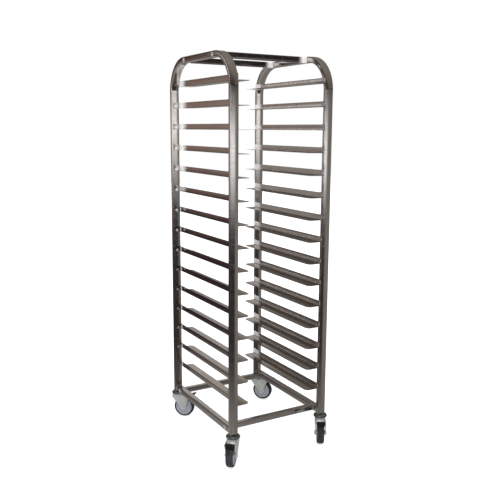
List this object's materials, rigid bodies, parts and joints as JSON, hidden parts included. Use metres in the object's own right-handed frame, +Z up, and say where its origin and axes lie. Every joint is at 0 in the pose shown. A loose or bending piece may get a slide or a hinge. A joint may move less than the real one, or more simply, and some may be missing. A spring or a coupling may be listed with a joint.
{
  "type": "sheet pan rack",
  "caption": "Tall rolling rack of stainless tube: two arched side frames carry facing pairs of angle slides for pans, tied by cross bars, on swivel casters with foot brakes.",
  "frame": {"origin": "middle of the whole rack's bounding box in plan, on the floor the wheels stand on", "axes": "+Z up; +Y from the front of the rack to its rear, along the slides; +X to the right as seen from the front"},
  "size_m": [0.6038, 0.7006, 1.735],
  "materials": {
    "left_hoop_steel": "brushed stainless, lightly polished",
    "left_base_rail_steel": "brushed stainless, lightly polished",
    "left_slide_01_steel": "brushed stainless sheet, folded",
    "left_slide_02_steel": "brushed stainless sheet, folded",
    "left_slide_03_steel": "brushed stainless sheet, folded",
    "left_slide_04_steel": "brushed stainless sheet, folded",
    "left_slide_05_steel": "brushed stainless sheet, folded",
    "left_slide_06_steel": "brushed stainless sheet, folded",
    "left_slide_07_steel": "brushed stainless sheet, folded",
    "left_slide_08_steel": "brushed stainless sheet, folded",
    "left_slide_09_steel": "brushed stainless sheet, folded",
    "left_slide_10_steel": "brushed stainless sheet, folded",
    "left_slide_11_steel": "brushed stainless sheet, folded",
    "left_slide_12_steel": "brushed stainless sheet, folded",
    "left_slide_13_steel": "brushed stainless sheet, folded",
    "left_slide_14_steel": "brushed stainless sheet, folded",
    "left_slide_15_steel": "brushed stainless sheet, folded",
    "right_hoop_steel": "brushed stainless, lightly polished",
    "right_base_rail_steel": "brushed stainless, lightly polished",
    "right_slide_01_steel": "brushed stainless sheet, folded",
    "right_slide_02_steel": "brushed stainless sheet, folded",
    "right_slide_03_steel": "brushed stainless sheet, folded",
    "right_slide_04_steel": "brushed stainless sheet, folded",
    "right_slide_05_steel": "brushed stainless sheet, folded",
    "right_slide_06_steel": "brushed stainless sheet, folded",
    "right_slide_07_steel": "brushed stainless sheet, folded",
    "right_slide_08_steel": "brushed stainless sheet, folded",
    "right_slide_09_steel": "brushed stainless sheet, folded",
    "right_slide_10_steel": "brushed stainless sheet, folded",
    "right_slide_11_steel": "brushed stainless sheet, folded",
    "right_slide_12_steel": "brushed stainless sheet, folded",
    "right_slide_13_steel": "brushed stainless sheet, folded",
    "right_slide_14_steel": "brushed stainless sheet, folded",
    "right_slide_15_steel": "brushed stainless sheet, folded",
    "top_front_bar_steel": "brushed stainless, lightly polished",
    "base_front_bar_steel": "brushed stainless, lightly polished",
    "top_rear_bar_steel": "brushed stainless, lightly polished",
    "base_rear_bar_steel": "brushed stainless, lightly polished",
    "front_left_head_chrome": "bright plated",
    "front_left_fork_zinc": "zinc plated pressing",
    "front_left_axle_zinc": "zinc plated bolt",
    "front_left_wheel_rubber": "dark tyre moulded on a blue-grey core",
    "front_left_pedal_plastic": "black, satin",
    "front_right_head_chrome": "bright plated",
    "front_right_fork_zinc": "zinc plated pressing",
    "front_right_axle_zinc": "zinc plated bolt",
    "front_right_wheel_rubber": "dark tyre moulded on a blue-grey core",
    "front_right_pedal_plastic": "black, satin",
    "rear_left_head_chrome": "bright plated",
    "rear_left_fork_zinc": "zinc plated pressing",
    "rear_left_axle_zinc": "zinc plated bolt",
    "rear_left_wheel_rubber": "dark tyre moulded on a blue-grey core",
    "rear_left_pedal_plastic": "black, satin",
    "rear_right_head_chrome": "bright plated",
    "rear_right_fork_zinc": "zinc plated pressing",
    "rear_right_axle_zinc": "zinc plated bolt",
    "rear_right_wheel_rubber": "dark tyre moulded on a blue-grey core",
    "rear_right_pedal_plastic": "black, satin"
  },
  "bodies": {
    "rack": {"left_hoop": "left_hoop_steel", "left_base_rail": "left_base_rail_steel", "left_slide_01": "left_slide_01_steel", "left_slide_02": "left_slide_02_steel", "left_slide_03": "left_slide_03_steel", "left_slide_04": "left_slide_04_steel", "left_slide_05": "left_slide_05_steel", "left_slide_06": "left_slide_06_steel", "left_slide_07": "left_slide_07_steel", "left_slide_08": "left_slide_08_steel", "left_slide_09": "left_slide_09_steel", "left_slide_10": "left_slide_10_steel", "left_slide_11": "left_slide_11_steel", "left_slide_12": "left_slide_12_steel", "left_slide_13": "left_slide_13_steel", "left_slide_14": "left_slide_14_steel", "left_slide_15": "left_slide_15_steel", "right_hoop": "right_hoop_steel", "right_base_rail": "right_base_rail_steel", "right_slide_01": "right_slide_01_steel", "right_slide_02": "right_slide_02_steel", "right_slide_03": "right_slide_03_steel", "right_slide_04": "right_slide_04_steel", "right_slide_05": "right_slide_05_steel", "right_slide_06": "right_slide_06_steel", "right_slide_07": "right_slide_07_steel", "right_slide_08": "right_slide_08_steel", "right_slide_09": "right_slide_09_steel", "right_slide_10": "right_slide_10_steel", "right_slide_11": "right_slide_11_steel", "right_slide_12": "right_slide_12_steel", "right_slide_13": "right_slide_13_steel", "right_slide_14": "right_slide_14_steel", "right_slide_15": "right_slide_15_steel", "top_front_bar": "top_front_bar_steel", "base_front_bar": "base_front_bar_steel", "top_rear_bar": "top_rear_bar_steel", "base_rear_bar": "base_rear_bar_steel", "front_left_caster_head": "front_left_head_chrome", "front_right_caster_head": "front_right_head_chrome", "rear_left_caster_head": "rear_left_head_chrome", "rear_right_caster_head": "rear_right_head_chrome"},
    "front_left_swivel": {"front_left_caster_fork": "front_left_fork_zinc", "front_left_caster_axle": "front_left_axle_zinc"},
    "front_left_roller": {"front_left_caster_wheel": "front_left_wheel_rubber"},
    "front_left_brake": {"front_left_brake_pedal": "front_left_pedal_plastic"},
    "front_right_swivel": {"front_right_caster_fork": "front_right_fork_zinc", "front_right_caster_axle": "front_right_axle_zinc"},
    "front_right_roller": {"front_right_caster_wheel": "front_right_wheel_rubber"},
    "front_right_brake": {"front_right_brake_pedal": "front_right_pedal_plastic"},
    "rear_left_swivel": {"rear_left_caster_fork": "rear_left_fork_zinc", "rear_left_caster_axle": "rear_left_axle_zinc"},
    "rear_left_roller": {"rear_left_caster_wheel": "rear_left_wheel_rubber"},
    "rear_left_brake": {"rear_left_brake_pedal": "rear_left_pedal_plastic"},
    "rear_right_swivel": {"rear_right_caster_fork": "rear_right_fork_zinc", "rear_right_caster_axle": "rear_right_axle_zinc"},
    "rear_right_roller": {"rear_right_caster_wheel": "rear_right_wheel_rubber"},
    "rear_right_brake": {"rear_right_brake_pedal": "rear_right_pedal_plastic"}
  },
  "joints": [
    {"name": "front_left_swivel_turn", "type": "hinge", "parent": "rack", "child": "front_left_swivel", "pos_m": [-0.22885, -0.26402, 0.11], "axis": [0, 0, 1], "continuous": true},
    {"name": "front_left_wheel_spin", "type": "hinge", "parent": "front_left_swivel", "child": "front_left_roller", "pos_m": [-0.2501, -0.28795, 0.05], "axis": [0.7478, -0.6639, 0], "continuous": true},
    {"name": "front_left_brake_press", "type": "hinge", "parent": "front_left_swivel", "child": "front_left_brake", "pos_m": [-0.2647, -0.3044, 0.104], "axis": [0.7478, -0.6639, 0], "range_deg": [0, 12]},
    {"name": "front_right_swivel_turn", "type": "hinge", "parent": "rack", "child": "front_right_swivel", "pos_m": [0.22915, -0.26402, 0.11], "axis": [0, 0, 1], "continuous": true},
    {"name": "front_right_wheel_spin", "type": "hinge", "parent": "front_right_swivel", "child": "front_right_roller", "pos_m": [0.21215, -0.29113, 0.05], "axis": [0.8471, -0.5314, 0], "continuous": true},
    {"name": "front_right_brake_press", "type": "hinge", "parent": "front_right_swivel", "child": "front_right_brake", "pos_m": [0.20045, -0.30977, 0.104], "axis": [0.8471, -0.5314, 0], "range_deg": [0, 12]},
    {"name": "rear_left_swivel_turn", "type": "hinge", "parent": "rack", "child": "rear_left_swivel", "pos_m": [-0.22885, 0.31398, 0.11], "axis": [0, 0, 1], "continuous": true},
    {"name": "rear_left_wheel_spin", "type": "hinge", "parent": "rear_left_swivel", "child": "rear_left_roller", "pos_m": [-0.20463, 0.29307, 0.05], "axis": [0.6534, 0.757, 0], "continuous": true},
    {"name": "rear_left_brake_press", "type": "hinge", "parent": "rear_left_swivel", "child": "rear_left_brake", "pos_m": [-0.18797, 0.27869, 0.104], "axis": [0.6534, 0.757, 0], "range_deg": [0, 12]},
    {"name": "rear_right_swivel_turn", "type": "hinge", "parent": "rack", "child": "rear_right_swivel", "pos_m": [0.22915, 0.31398, 0.11], "axis": [0, 0, 1], "continuous": true},
    {"name": "rear_right_wheel_spin", "type": "hinge", "parent": "rear_right_swivel", "child": "rear_right_roller", "pos_m": [0.25027, 0.28994, 0.05], "axis": [0.7513, 0.66, 0], "continuous": true},
    {"name": "rear_right_brake_press", "type": "hinge", "parent": "rear_right_swivel", "child": "rear_right_brake", "pos_m": [0.26479, 0.27341, 0.104], "axis": [0.7513, 0.66, 0], "range_deg": [0, 12]}
  ]
}
